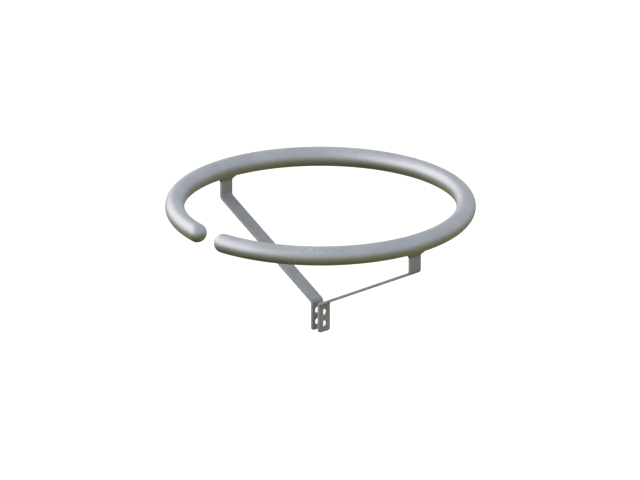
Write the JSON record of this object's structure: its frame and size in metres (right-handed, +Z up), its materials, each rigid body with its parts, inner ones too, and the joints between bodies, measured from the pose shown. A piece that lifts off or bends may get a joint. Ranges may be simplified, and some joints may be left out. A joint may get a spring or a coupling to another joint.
{
  "type": "corona ring",
  "caption": "Open round tube ring with domed ends, carried by bent flat-bar straps that meet below in parallel lugs with through-bolt holes.",
  "frame": {"origin": "centre of the upper bolt hole, midway between the two lugs", "axes": "+X along the bolt holes, towards the right-hand strap; +Z up along the axis of the ring, from the lugs to the ring; the gap in the ring faces -Y"},
  "size_m": [0.64, 0.6369, 0.291],
  "materials": {
    "tube": "satin, lightly brushed along the tube",
    "strap": "mill finish flat bar, dull",
    "weld": "satin weld bead, fine ripples"
  },
  "bodies": {
    "root": {"ring_tube": "tube", "end_cap_left": "tube", "end_cap_right": "tube", "strap_left": "strap", "strap_right": "strap", "weld_left": "weld", "weld_right": "weld"}
  },
  "joints": []
}
